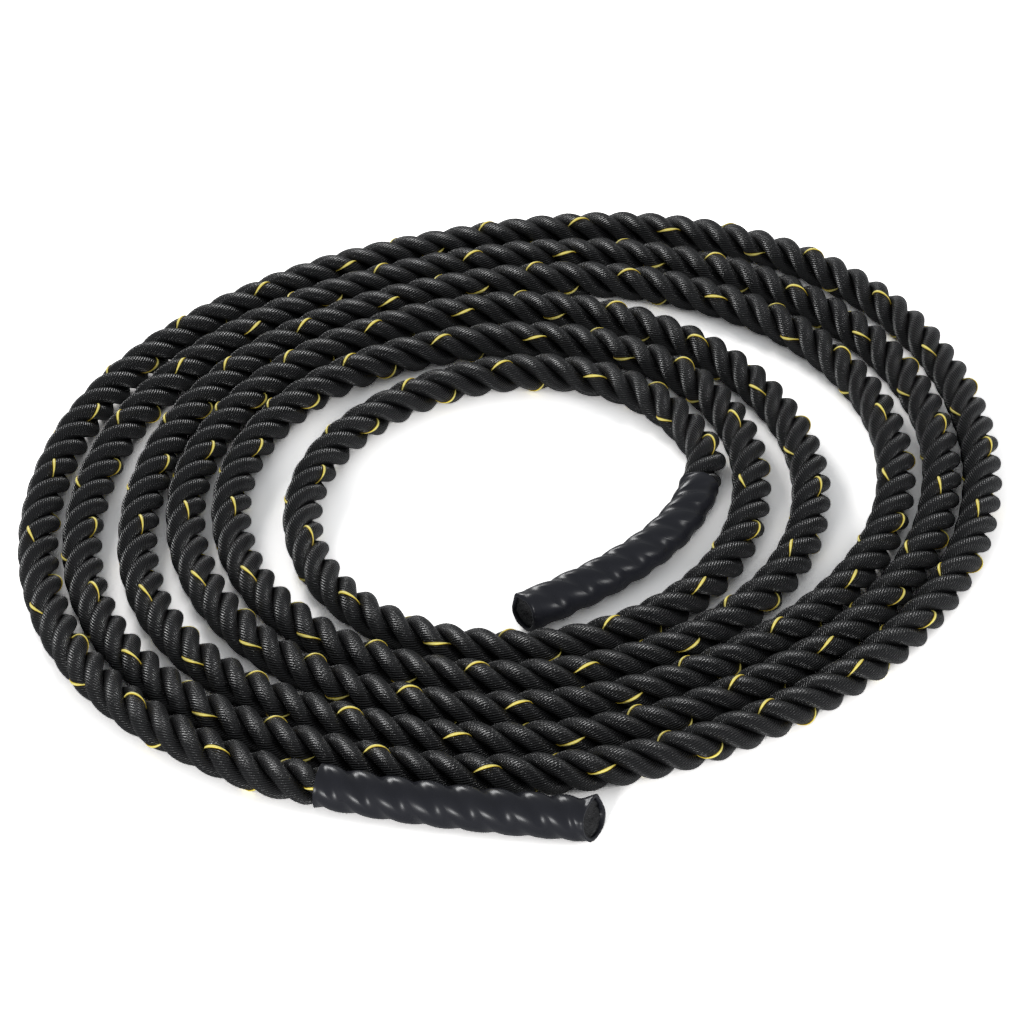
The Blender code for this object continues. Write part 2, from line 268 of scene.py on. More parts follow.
def wholeRoute():
    # outer rope end, outer grip, lead, coil inwards, lead, inner grip, inner rope end
    diameter = rope["diameter"]
    thicker = max(gripRadius - diameter / 2, 0)
    outerMouth = polar(coilRadius(coil["turns"]) + thicker, coilBearing(coil["turns"]))
    outward = turned(-coilHeading(coil["turns"]), coil["outerMouthTurn"])
    innerMouth = polar(coilRadius(0) - diameter * coil["innerTuckShare"], coilBearing(0))
    inward = turned(coilHeading(0), coil["innerMouthTurn"])
    outerStraight = outerMouth - outward * diameter
    innerStraight = innerMouth - inward * diameter
    places = np.linspace(coil["turns"] - coil["outerLeadTurns"], coil["innerLeadTurns"], coil["points"])
    turnsLine = coilPoint(places)
    leadIn = leadCurve(outerStraight, -outward, turnsLine[0], coilHeading(places[0]))
    leadOut = leadCurve(turnsLine[-1], coilHeading(places[-1]), innerStraight, inward)
    outerBend = grip["length"] / coilRadius(coil["turns"]) * grip["outerCurl"]
    innerBend = -grip["length"] / coil["innerTurnRadius"] * grip["innerCurl"]
    outerGrip = gripLine(outerMouth, outward, outerBend)
    innerGrip = gripLine(innerMouth, inward, innerBend)
    whole = np.vstack([outerGrip[::-1], outerStraight, leadIn, turnsLine, leadOut, innerStraight, innerGrip])
    return whole + np.array(coil["footprintShift"])


def smoothed(values, step, reach):
    # Gaussian mean along the line, cut off at three reaches; the line is carried on straight past both ends
    half = int(reach * 3 / step)
    kernel = np.exp(-0.5 * (np.arange(-half, half + 1) * step / reach) ** 2)
    kernel /= kernel.sum()
    before = values[0] + (values[0] - values[1]) * np.arange(half, 0, -1)[:, None]
    after = values[-1] + (values[-1] - values[-2]) * np.arange(1, half + 1)[:, None]
    padded = np.vstack([before, values, after])
    return np.stack([np.convolve(column, kernel, "valid") for column in padded.T], axis=-1)


def evenly(points, step):
    # the same line with points a step apart, and how far along it each lies
    along = np.concatenate([[0], np.cumsum(np.linalg.norm(np.diff(points, axis=0), axis=1))])
    count = int(round(along[-1] / step))
    places = np.linspace(0, along[-1], count + 1)
    return places, np.stack([np.interp(places, along, column) for column in points.T], axis=-1)


route = {
    "step": 0.001,
    "smoothing": 0.008,
    "riseFrom": 0.03,  # the rope starts to rise to the sleeve's middle this far before the mouth
    "riseLength": 0.05,
    "cordEvery": 10,  # points of the line for each point of the cord's path
}
_, flatLine = evenly(wholeRoute(), route["step"])
lineAlong, flatLine = evenly(smoothed(flatLine, route["step"], route["smoothing"]), route["step"])
ropeLength = float(lineAlong[-1])
outerMouthAt = grip["length"]
innerMouthAt = ropeLength - grip["length"]


def insideShare(places, outerFrom, innerFrom, length):
    # 0 on the free rope and 1 inside either sleeve, rising over a length that starts before each mouth
    outer = np.clip((outerMouthAt + outerFrom - places) / length, 0, 1)
    inner = np.clip((places - innerMouthAt + innerFrom) / length, 0, 1)
    return eased(outer + inner)


inGrip = insideShare(lineAlong, route["riseFrom"], route["riseFrom"], route["riseLength"])
lineHeight = rope["height"] + (gripHeight - rope["height"]) * inGrip
middleLine = np.column_stack([flatLine, lineHeight])
forward = np.gradient(middleLine, axis=0)
forward /= np.linalg.norm(forward, axis=1)[:, None]
leftward = np.column_stack([-forward[:, 1], forward[:, 0], np.zeros(len(forward))])
leftward /= np.linalg.norm(leftward, axis=1)[:, None]
upward = np.cross(forward, leftward)
print(f"route: {ropeLength:.3f} m of rope, {innerMouthAt - outerMouthAt:.3f} m between the grips")


def onLine(table, places):
    return np.stack([np.interp(places, lineAlong, column) for column in table.T], axis=-1)


def radialWay(places, angle):
    # away from the middle line at an angle, counted from the left over the top
    return np.cos(angle)[..., None] * onLine(leftward, places) + np.sin(angle)[..., None] * onLine(upward, places)


def layAngle(places):
    # the lay turns evenly, with a slow drift of a few degrees as a real rope has
    drift = sum(angle * np.sin(turn * places / length + phase) for angle, length, phase in rope["layDrifts"])
    fade = rope["driftFade"]
    free = np.clip((places - outerMouthAt) / fade, 0, 1) * np.clip((innerMouthAt - places) / fade, 0, 1)
    return turn * (places - outerMouthAt) / rope["layLength"] + rope["layStart"] + drift * free


def squeezeAt(places):
    # the strands narrow as they enter a sleeve
    inside = insideShare(
        places, rims["outer"]["squeezeFrom"], rims["inner"]["squeezeFrom"], grip["squeezeLength"]
    )
    return 1 - (1 - grip["squeeze"]) * inside


# Meshes

def newPiece(name, mesh, material):
    mesh.polygons.foreach_set("use_smooth", np.ones(len(mesh.polygons), bool))
    mesh.materials.append(material)
    piece = bpy.data.objects.new(name, mesh)
    scene.collection.objects.link(piece)
    return piece


def tubeMesh(name, points, uv=None, ringAlong=False):
    # grid of stations by sides, closed round its sides; closed along its stations too, or else capped at both ends
    stations, sides = points.shape[:2]
    rows = stations if ringAlong else stations - 1
    i, j = np.meshgrid(np.arange(rows), np.arange(sides), indexing="ij")
    iNext = (i + 1) % stations
    jNext = (j + 1) % sides
    quads = np.stack(
        [i * sides + j, i * sides + jNext, iNext * sides + jNext, iNext * sides + j], axis=-1
    )
    faces = quads.reshape(-1, 4).tolist()
    if not ringAlong:
        faces.append(list(range(sides - 1, -1, -1)))
        faces.append(list(range((stations - 1) * sides, stations * sides)))
    mesh = bpy.data.meshes.new(name)
    mesh.from_pydata(points.reshape(-1, 3).tolist(), [], faces)
    if uv is not None:
        # uv has one column more than the sides, so that the seam's faces don't run backwards
        corners = np.stack([uv[i, j], uv[i, j + 1], uv[i + 1, j + 1], uv[i + 1, j]], axis=2).reshape(-1, 2)
        layer = mesh.uv_layers.new(name="lay")
        whole = np.zeros((len(mesh.loops), 2), np.float32)
        whole[: len(corners)] = corners
        layer.data.foreach_set("uv", whole.ravel())
    mesh.validate()
    return mesh


# Strand section: an ellipse off the rope's middle, cut by the two planes where it meets its neighbours
strand = {
    "centre": 0.0102,
    "radial": 0.0088,
    "across": 0.0100,
    "gap": 0.0002,
    "unevenness": ((0.006, 0.041, 2.1), (0.006, 0.173, 1.0)),  # share, length, phase from strand to strand
    "sides": 26,
    "step": 0.0032,
    "endInset": 0.018,
}


def sectionAngle(yarnAngle):
    # u minus a share of its sine, so that equal steps of u lie closer on the crown
    return yarnAngle - rope["yarnCrowding"] * np.sin(yarnAngle)


def strandSection(yarnAngle):
    # out and across from the rope's middle: centre + radial cos t, across sin t, held between the planes at 60 degrees
    t = sectionAngle(yarnAngle)
    out = strand["centre"] + strand["radial"] * np.cos(t)
    across = strand["across"] * np.sin(t)
    limit = out * math.tan(math.pi / rope["strands"]) - strand["gap"]
    return out, np.clip(across, -limit, limit)


def laidPoint(places, lay, out, across):
    # a point of the section that turns with the lay, carried along the middle line
    scale = squeezeAt(places)[..., None]
    outWay = radialWay(places, lay)
    acrossWay = radialWay(places, lay + np.pi / 2)
    return onLine(middleLine, places) + scale * (out[..., None] * outWay + across[..., None] * acrossWay)


def makeStrand(number, material):
    # the section carried along the whole rope with its lay, a little thicker and thinner in places
    name = f"strand_{number + 1}"
    start = strand["endInset"] - rims["outer"]["past"]
    end = ropeLength - strand["endInset"] + rims["inner"]["past"]
    places = np.linspace(start, end, int((end - start) / strand["step"]))
    yarnAngle = np.linspace(0, turn, strand["sides"] + 1)
    out, across = strandSection(yarnAngle[:-1])
    s, _ = np.meshgrid(places, yarnAngle[:-1], indexing="ij")
    lay = layAngle(s) + turn * number / rope["strands"]
    uneven = 1 + sum(
        share * np.sin(turn * s / length + number * phase) for share, length, phase in strand["unevenness"]
    )
    points = laidPoint(s, lay, out * uneven, np.broadcast_to(across, s.shape))
    points[..., 2] = np.maximum(points[..., 2], 0)
    sUv, uUv = np.meshgrid(places, yarnAngle, indexing="ij")
    yarnCount = rope["yarns"] * (uUv / turn + rope["strandTurnsPerLay"] * sUv / rope["layLength"])
    return newPiece(name, tubeMesh(name, points, np.stack([sUv, yarnCount], axis=-1)), material)


tracer = {
    "strand": 0,
    "start": 0.6,  # where on the strand it lies at the outer mouth, in turns
    "width": 0.0028,
    "thickness": 0.0016,
    "lift": 0.0001,
    "insideSleeves": 0.015,
    "grooveShare": 0.58,  # its width is the cosine of this share of the angle from the crown
    "grooveWidth": 0.3,  # and never less than this share, where it is pressed thin in the grooves
    "sides": 8,
    "step": 0.0015,
}


def makeTracer(material):
    # an elliptic tube laid on its strand's outline, where it goes round the strand as the black yarns do
    inside = tracer["insideSleeves"]
    stations = int((innerMouthAt - outerMouthAt) / tracer["step"])
    places = np.linspace(outerMouthAt - inside, innerMouthAt + inside, stations)
    yarnAngle = turn * (tracer["start"] - rope["strandTurnsPerLay"] * places / rope["layLength"])
    lay = layAngle(places) + turn * tracer["strand"] / rope["strands"]
    out, across = strandSection(yarnAngle)
    t = sectionAngle(yarnAngle)
    line = laidPoint(places, lay, out, across)
    normalOut, normalAcross = np.cos(t) / strand["radial"], np.sin(t) / strand["across"]
    size = np.hypot(normalOut, normalAcross) / 0.001  # a millimetre out from the strand
    tip = laidPoint(places, lay, out + normalOut / size, across + normalAcross / size)
    normal = tip - line
    normal /= np.linalg.norm(normal, axis=1)[:, None]
    along = np.gradient(line, axis=0)
    along /= np.linalg.norm(along, axis=1)[:, None]
    side = np.cross(normal, along)
    side /= np.linalg.norm(side, axis=1)[:, None]
    narrow = np.clip(np.cos(wrapped(t) * tracer["grooveShare"]), tracer["grooveWidth"], 1)
    around = np.linspace(0, turn, tracer["sides"] + 1)
    width = tracer["width"] / 2 * narrow[:, None, None] * np.cos(around[:-1])[None, :, None]
    height = tracer["thickness"] / 2 * np.sin(around[:-1])[None, :, None] + tracer["lift"]
    points = line[:, None] - side[:, None] * width + normal[:, None] * height
    points[..., 2] = np.maximum(points[..., 2], 0)
    sUv, rUv = np.meshgrid(places, around / turn, indexing="ij")
    return newPiece("tracer_yarn", tubeMesh("tracer_yarn", points, np.stack([rUv, sUv], axis=-1)), material)


# Sleeves

def squeezedSection():
    # how three slanting ellipses pack inside the sleeve: distance of a strand's middle, and its two half widths.
    # The slant depends on the distance, and 64 rounds settle it.
    outside = rope["diameter"] / 2 * grip["squeeze"]
    half = math.pi / rope["strands"]
    centre = outside / 2
    for _ in range(64):
        slant = math.hypot(1, turn * centre / rope["layLength"])
        reach = centre * math.sin(half) - grip["strandHalfGap"]
        radial = reach / math.hypot(math.sin(half), math.cos(half) * slant)
        centre = outside - radial
    return centre, radial, radial * slant


def sleeveRadius(angle):
    # over each strand's ellipse, and straight from strand to strand with a little sag
    centre, radial, across = squeezedSection()
    half = math.pi / rope["strands"]
    offCrest = np.abs((angle + half) % (2 * half) - half)
    flat = centre * math.cos(half) + math.hypot(radial * math.cos(half), across * math.sin(half))
    bridge = flat / np.cos(half - offCrest)
    a = (np.cos(offCrest) / radial) ** 2 + (np.sin(offCrest) / across) ** 2
    b = centre * np.cos(offCrest) / radial**2
    c = (centre / radial) ** 2 - 1
    overStrand = (b + np.sqrt(np.maximum(b * b - a * c, 0))) / a
    touching = math.atan2(across**2 * math.sin(half), centre * flat + radial**2 * math.cos(half))
    radius = np.where(offCrest < touching, overStrand, np.maximum(bridge, overStrand))
    return radius + grip["clearance"] + grip["wall"] - grip["sag"] * swell((half - offCrest) / half * 2)


def softRadius(angle, softening):
    # the sleeve's radius as a mean over a few degrees, so that bridges and strands run softly into each other
    offsets = np.linspace(-0.9, 0.9, 9)
    weights = swell(offsets)
    total = sum(weight * sleeveRadius(angle + offset * softening) for offset, weight in zip(offsets, weights))
    return total / weights.sum()


def rimOffset(name, angle):
    # how far the leaning cut carries a point of the circle back or on: minus radius times tan of the lean
    values = rims[name]
    return values["past"] - gripRadius * math.tan(values["lean"]) * np.cos(angle - values["leanTo"])


def mouthOffset(name, angle):
    # the same at the mouth, where on is into the sleeve
    values = rims[name]
    return values["mouthPast"] + gripRadius * math.tan(values["mouthLean"]) * np.cos(angle - values["mouthLeanTo"])


def aboutLine(places, radius, angle):
    # the point at a radius and an angle about the middle line, which runs on straight past the rope's ends
    onRope = np.clip(places, 0, ropeLength)
    points = onLine(middleLine, onRope) + radius[..., None] * radialWay(places, angle)
    points = points + (places - onRope)[..., None] * onLine(forward, places)
    points[..., 2] = np.maximum(points[..., 2], 0)
    return points


# Stations along a sleeve, from the cut at the mouth
sleeveProfile = {
    "cutPlaces": (0.0, 0.0, 0.00018),  # the cut's inner edge, its outer edge and the bevel between cut and skin
    "cutInsets": (0.0012, 0.0003, 0.00009),
    "bodyFrom": 0.0006,
    "curlStations": 11,
    "lipTail": 0.008,  # over this length behind the lip the doubled wall goes back to one wall
    "lipTailStations": 12,
    "insideFrom": 0.012,
    "insideTo": 0.0005,
    "insideStations": 50,
}


def sleeveStations(lip):
    # out from the mouth on the outside, over the lip by half a circle, and back on the inside: how far along
    # each station lies, and how deep under the skin
    profile, length = sleeveProfile, grip["length"]
    lipAt = length - lip
    body = np.linspace(profile["bodyFrom"], lipAt, int(length / grip["step"]))
    curl = np.linspace(0, np.pi, profile["curlStations"] + 2)[1:-1]
    tail = np.linspace(lipAt, lipAt - profile["lipTail"], profile["lipTailStations"])
    inside = np.linspace(lipAt - profile["insideFrom"], profile["insideTo"], profile["insideStations"])
    back = np.concatenate([tail, inside])
    behindLip = np.interp(lipAt - back, [0, profile["lipTail"]], [2 * lip, grip["wall"]])
    x = np.concatenate([profile["cutPlaces"], body, lipAt + lip * np.sin(curl), back])
    inset = np.concatenate([profile["cutInsets"], np.zeros(len(body)), lip * (1 - np.cos(curl)), behindLip])
    return x, inset


def makeSleeve(name, end, mouthAt, way, material):
    # the radius is the soft lobes, flattened to their depth, run towards a circle at the mouth and the rim,
    # and times the waist; then come the rim's corners and folds, a faint ripple and the bead of the cut edge
    length, values = grip["length"], rims[end]
    x, inset = sleeveStations(values["lip"])
    fromRim = (length - x) / grip["gatherLength"]
    waist = np.interp(fromRim, grip["gatherPlaces"][::-1], values["waists"][::-1])
    gather = np.clip(1 - fromRim, 0, 1)[:, None]
    flare = np.clip(1 - x / grip["mouthFlare"], 0, 1)[:, None] ** 2
    xs, angle = np.meshgrid(x, np.linspace(0, turn, grip["sides"] + 1)[:-1], indexing="ij")
    fixed = angle + layAngle(mouthAt + way * x)[:, None]
    nearRim = np.clip(1 - (length - xs) / grip["rimReach"], 0, 1) ** 2
    nearMouth = np.clip(1 - xs / grip["mouthReach"], 0, 1) ** 2
    places = mouthAt + way * (xs + nearRim * rimOffset(end, fixed) + nearMouth * mouthOffset(end, fixed))

    atMouth, atRim = values["lobeDepths"]
    more, moreTo = values["lobeSide"]
    depth = atMouth + (atRim - atMouth) * xs / length + more * np.cos(fixed - moreTo)
    lobes = softRadius(angle, values["softening"])
    lobes = lobes.max() - (lobes.max() - lobes) * depth
    mouthShare, mouthBlend = grip["mouthRound"]
    radius = lobes + (lobes.max() * mouthShare - lobes) * mouthBlend * flare
    radius = radius + (lobes.max() * grip["rimRound"] - radius) * values["gatherBlend"] * gather
    radius = radius * waist[:, None] - inset[:, None]

    for bearing, rise, half in values["corners"]:
        radius = radius + rise * gather**2 * swell(wrapped(fixed - bearing) / half)
    radius = radius + grip["foldHeight"] * waves(fixed, xs, grip["folds"]) * gather**2
    beat = np.sin(turn * xs / grip["rippleBeat"] + 1.3)
    ripple = waves(fixed, xs, grip["fineRipple"]) * beat + waves(fixed, xs, grip["broadRipple"])
    radius = radius + grip["rippleHeight"] * ripple
    radius = radius + grip["beadRise"] * np.exp(-((xs / grip["beadWidth"]) ** 2))

    points = aboutLine(places, radius, fixed)
    if way < 0:
        points = points[:, ::-1]
    return newPiece(name, tubeMesh(name, points, ringAlong=True), material)


melted = {
    "behindLip": 0.0006,
    "depth": 0.020,
    "edgeLips": 1.3,  # its edge lies this many lips inside the rim
    "bundleHeight": 0.0012,
    "crown": 0.0012,
    "edgeDrop": 0.0010,
    "edgeFade": 0.2,
    "pitHeight": 0.00075,
    "rings": 26,
    "firstRing": 0.02,
    "sides": 72,
    "backStep": 0.004,
    "backEdge": 0.8,
    "backHole": 0.0004,
}


def makeMeltedEnd(name, end, mouthAt, way, material):
    # a plug that fills the rim: its front is three fused bundles with a rough, pitted skin
    length, lip, rings = grip["length"], rims[end]["lip"], melted["rings"]
    front, rear = length - lip - melted["behindLip"], length - melted["depth"]
    edge = gripRadius * rims[end]["waists"][-1] - lip * melted["edgeLips"]
    angle = np.linspace(0, turn, melted["sides"] + 1)[:-1]
    share = np.linspace(melted["firstRing"], 1, rings)
    radius = np.concatenate([share * edge, [edge * 0.99, edge * melted["backEdge"], melted["backHole"]]])
    depth = np.concatenate([np.full(rings, front), [rear + melted["backStep"], rear, rear]])
    r, a = np.meshgrid(radius, angle, indexing="ij")
    lay = layAngle(np.array([mouthAt + way * front]))[0]
    bundles = melted["bundleHeight"] * np.cos(rope["strands"] * (a - lay)) * (r / edge) ** 2
    pits = np.sin(r * 1900 + 3 * a) * np.sin(7 * a + r * 900)
    pits = pits + 0.8 * np.sin(11 * a - r * 1500) + 0.6 * np.cos(17 * a + r * 2600)
    fade = np.clip((edge - r) / (melted["edgeFade"] * edge), 0, 1) ** 0.5
    relief = (bundles + melted["pitHeight"] * pits - melted["crown"] * (r / edge) ** 2) * fade
    relief = relief - melted["edgeDrop"] * (1 - fade)
    isFront = (np.arange(len(radius)) < rings)[:, None]
    x = depth[:, None] + np.where(isFront, relief, 0) + rims[end]["past"]
    x = x + (rimOffset(end, a) - rims[end]["past"]) * r / gripRadius
    points = aboutLine(mouthAt + way * x, r, a)
    if way > 0:
        points = points[:, ::-1]
    return newPiece(name, tubeMesh(name, points), material)


# Materials. A look's ramps are stops: a place, and the colour or value there.

yarnLook = {
    "plain": ((0.0030, 0.0030, 0.0036), 0.4),  # mean colour and roughness, where the nodes aren't read
    # the colour rises with the crest: darker in the grooves between the yarns, which is painted shade, and lighter and
    # bluer on the crowns, which is painted sheen
    "colour": (
        (0.0, (0.0008, 0.0008, 0.0010)),
        (0.45, (0.0024, 0.0024, 0.0029)),
        (0.85, (0.0056, 0.0056, 0.0068)),
    ),
    "roughness": ((0.0, 0.85), (0.30, 0.50), (0.60, 0.25)),
    "specular": 0.60,
    "ribHeight": 0.0012,
    "plyLength": 0.0028,
    "plyShare": 0.06,
    "grainScale": 900,
    "grainShare": 0.05,
    "grainFloor": 0.25,
}
tracerLook = {
    "plain": ((1.0, 0.78, 0.10), 0.4),
    # from dark olive, which is painted shade at the edges and underneath, to pale yellow, which is painted highlight
    # on top
    "colour": (
        (0.10, (0.20, 0.13, 0.01)),
        (0.34, (0.88, 0.58, 0.03)),
        (0.56, (1.0, 0.81, 0.10)),
        (0.84, (1.0, 0.90, 0.30)),
    ),
    "paintedTopLightShare": 0.55,
    "grainShare": 0.5,
    "plies": 3,
    "plyLength": 0.0026,
    "plyShare": 0.4,
    "grainScale": 1100,
    "bump": (0.6, 0.0003),  # strength, height
}
sleeveLook = {
    "plain": ((0.0186, 0.0192, 0.0240), 0.28),
    "colour": ((0.3, (0.0172, 0.0178, 0.0224)), (0.7, (0.0200, 0.0206, 0.0256))),
    "roughness": ((0.3, 0.25), (0.7, 0.31)),
    "specular": 0.22,
    "broad": (45, 3.0, 0.55),  # noise: scale, detail, roughness
    "fine": (1400, 2.0, 0.5),
    "fineShare": 0.3,
    "bump": (0.25, 0.0004),
}
meltedLook = {
    "plain": ((0.010, 0.010, 0.011), 0.55),
    "colour": ((0.35, (0.004, 0.004, 0.005)), (0.7, (0.016, 0.016, 0.018))),
    "roughness": ((0.3, 0.35), (0.7, 0.75)),
    "grainScale": 420,
    "bump": (0.9, 0.0012),
}


def newMaterial(name, plain):
    colour, roughness = plain
    material = bpy.data.materials.new(name)
    material.use_nodes = True
    shader = material.node_tree.nodes["Principled BSDF"]
    shader.inputs["Base Color"].default_value = (*colour, 1)
    shader.inputs["Roughness"].default_value = roughness
    return material, material.node_tree, shader


def mathNode(tree, operation, *values):
    # a Math node whose inputs are numbers or other nodes' outputs
    node = tree.nodes.new("ShaderNodeMath")
    node.operation = operation
    for socket, value in zip(node.inputs, values):
        if isinstance(value, (int, float)):
            socket.default_value = value
        else:
            tree.links.new(value, socket)
    return node.outputs[0]


def rampNode(tree, factor, stops):
    node = tree.nodes.new("ShaderNodeValToRGB")
    ramp = node.color_ramp
    while len(ramp.elements) < len(stops):
        ramp.elements.new(0.5)
    for element, (place, value) in zip(ramp.elements, stops):
        element.position = place
        element.color = (*value, 1) if isinstance(value, tuple) else (value, value, value, 1)
    tree.links.new(factor, node.inputs["Fac"])
    return node.outputs["Color"]


def bumpNode(tree, height, strength, distance):
    node = tree.nodes.new("ShaderNodeBump")
    node.inputs["Strength"].default_value = strength
    node.inputs["Distance"].default_value = distance
    tree.links.new(height, node.inputs["Height"])
    return node.outputs["Normal"]


def noiseNode(tree, vector, scale, detail, roughness):
    node = tree.nodes.new("ShaderNodeTexNoise")
    node.inputs["Scale"].default_value = scale
    node.inputs["Detail"].default_value = detail
    node.inputs["Roughness"].default_value = roughness
    tree.links.new(vector, node.inputs["Vector"])
    return node.outputs["Fac"]


def layCoordinates(tree):
    # U and V of the piece's own map
    uv = tree.nodes.new("ShaderNodeUVMap")
    uv.uv_map = "lay"
    split = tree.nodes.new("ShaderNodeSeparateXYZ")
    tree.links.new(uv.outputs["UV"], split.inputs[0])
    return split.outputs["X"], split.outputs["Y"]


def makeFibreGroup():
    # fine fibre grain from object coordinates, as a grey mask
    group = bpy.data.node_groups.new("fibreGrain", "ShaderNodeTree")
    group.interface.new_socket(name="Scale", in_out="INPUT", socket_type="NodeSocketFloat")
    group.interface.new_socket(name="Mask", in_out="OUTPUT", socket_type="NodeSocketFloat")
    inside = group.nodes.new("NodeGroupInput")
    outside = group.nodes.new("NodeGroupOutput")
    coordinates = group.nodes.new("ShaderNodeTexCoord")
    noise = group.nodes.new("ShaderNodeTexNoise")
    noise.inputs["Detail"].default_value = 3
    noise.inputs["Roughness"].default_value = 0.65
    group.links.new(coordinates.outputs["Object"], noise.inputs["Vector"])
    group.links.new(inside.outputs["Scale"], noise.inputs["Scale"])
    group.links.new(noise.outputs["Fac"], outside.inputs["Mask"])
    return group


fibreGroup = makeFibreGroup()


def fibreGrain(tree, scale):
    node = tree.nodes.new("ShaderNodeGroup")
    node.node_tree = fibreGroup
    node.inputs["Scale"].default_value = scale
    return node.outputs["Mask"]


def blackYarnMaterial():
    # ribs from the strand's own map, where U is metres along the rope and V counts yarns: the crest is the
    # size of the sine of half a turn for each yarn, and its plies are a sine along and across
    look = yarnLook
    material, tree, shader = newMaterial("blackYarn", look["plain"])
    along, yarn = layCoordinates(tree)
    crest = mathNode(tree, "ABSOLUTE", mathNode(tree, "SINE", mathNode(tree, "MULTIPLY", yarn, math.pi)))
    acrossTurns = mathNode(tree, "MULTIPLY", yarn, turn)
    alongTurns = mathNode(tree, "MULTIPLY", along, turn / look["plyLength"])
    ply = mathNode(tree, "SINE", mathNode(tree, "ADD", acrossTurns, alongTurns))
    grain = fibreGrain(tree, look["grainScale"])
    height = mathNode(tree, "ADD", crest, mathNode(tree, "MULTIPLY", ply, look["plyShare"]))
    height = mathNode(tree, "ADD", height, mathNode(tree, "MULTIPLY", grain, look["grainShare"]))
    tree.links.new(bumpNode(tree, height, 1.0, look["ribHeight"]), shader.inputs["Normal"])
    # the yarns' crowns shine and the grooves between them stay dull
    tree.links.new(rampNode(tree, crest, look["roughness"]), shader.inputs["Roughness"])
    # the base colour is painted shade in the grooves and painted sheen on the crowns, times the fibre grain
    grainAndPaintedShading = mathNode(tree, "MULTIPLY", crest, mathNode(tree, "ADD", grain, look["grainFloor"]))
    tree.links.new(rampNode(tree, grainAndPaintedShading, look["colour"]), shader.inputs["Base Color"])
    shader.inputs["Specular IOR Level"].default_value = look["specular"]
    return material


def tracerMaterial():
    # round the tube U runs from one edge over the top: the sine of a turn of U is 1 on top and -1 underneath, and the
    # colour follows it as painted light: pale on top, dark olive at the edges and underneath
    look = tracerLook
    material, tree, shader = newMaterial("tracerYarn", look["plain"])
    around, along = layCoordinates(tree)
    top = mathNode(tree, "SINE", mathNode(tree, "MULTIPLY", around, turn))
    aroundTurns = mathNode(tree, "MULTIPLY", around, turn * look["plies"])
    alongTurns = mathNode(tree, "MULTIPLY", along, turn / look["plyLength"])
    twist = mathNode(tree, "SINE", mathNode(tree, "ADD", aroundTurns, alongTurns))
    grain = fibreGrain(tree, look["grainScale"])
    height = mathNode(tree, "ADD", mathNode(tree, "MULTIPLY", twist, look["plyShare"]), grain)
    tree.links.new(bumpNode(tree, height, *look["bump"]), shader.inputs["Normal"])
    # painted light: lighter on top and darker towards the edges and underneath, plus the fibre grain
    paintedTopLight = mathNode(tree, "MULTIPLY", top, look["paintedTopLightShare"])
    grainAndPaintedShading = mathNode(tree, "ADD", paintedTopLight, mathNode(tree, "MULTIPLY", grain, look["grainShare"]))
    tree.links.new(rampNode(tree, grainAndPaintedShading, look["colour"]), shader.inputs["Base Color"])
    return material


def sleeveMaterial():
    # two noises on object coordinates: the broad one clouds the colour and the gloss, both give the skin's grain
    look = sleeveLook
    material, tree, shader = newMaterial("shrunkPlastic", look["plain"])
    coordinates = tree.nodes.new("ShaderNodeTexCoord")
    broad = noiseNode(tree, coordinates.outputs["Object"], *look["broad"])
    fine = noiseNode(tree, coordinates.outputs["Object"], *look["fine"])
    tree.links.new(rampNode(tree, broad, look["colour"]), shader.inputs["Base Color"])
    tree.links.new(rampNode(tree, broad, look["roughness"]), shader.inputs["Roughness"])
    shader.inputs["Specular IOR Level"].default_value = look["specular"]
    height = mathNode(tree, "ADD", mathNode(tree, "MULTIPLY", fine, look["fineShare"]), broad)
    tree.links.new(bumpNode(tree, height, *look["bump"]), shader.inputs["Normal"])
    return material


def meltedMaterial():
    # the fibre grain gives the colour, the gloss and the relief
    look = meltedLook
    material, tree, shader = newMaterial("meltedYarn", look["plain"])
    grain = fibreGrain(tree, look["grainScale"])
    tree.links.new(rampNode(tree, grain, look["colour"]), shader.inputs["Base Color"])
    tree.links.new(rampNode(tree, grain, look["roughness"]), shader.inputs["Roughness"])
    tree.links.new(bumpNode(tree, grain, *look["bump"]), shader.inputs["Normal"])
    return material


# Camera, light and floor

camera = {
    "focalPixels": 2960,
    "framePixels": 1024,
    "sensorWidth": 36,
    "pitchDown": 40.3,
    "place": (-0.0068, -2.204),
    "height": 1.837,
    "clip": (0.1, 50),
}


def makeCamera():
    lens = bpy.data.cameras.new("photoCamera")
    lens.sensor_width = camera["sensorWidth"]
    lens.lens = camera["focalPixels"] / camera["framePixels"] * camera["sensorWidth"]
    lens.clip_start, lens.clip_end = camera["clip"]
    holder = bpy.data.objects.new("photoCamera", lens)
    shift = coil["footprintShift"]
    holder.location = (camera["place"][0] + shift[0], camera["place"][1] + shift[1], camera["height"])
    holder.rotation_euler = (math.radians(90 - camera["pitchDown"]), 0, 0)
    scene.collection.objects.link(holder)
    scene.camera = holder


light = {
    "world": 0.38,
    "sky": (0.94, 0.97, 1.0),
    "floorReach": 8,
    "floorColour": 0.8,
    # to the camera alone, so that the floor is white and keeps the deeper shadows
    "floorSeenAs": (2.56, 2.51, 2.46),
    "distance": 2.6,
    # bearing, elevation, watts, width
    "front": (-108, 14, 31, 0.6),
    "right": (-24, 20, 17, 0.7),
    "backLeft": (117, 26, 38, 1.0),
}


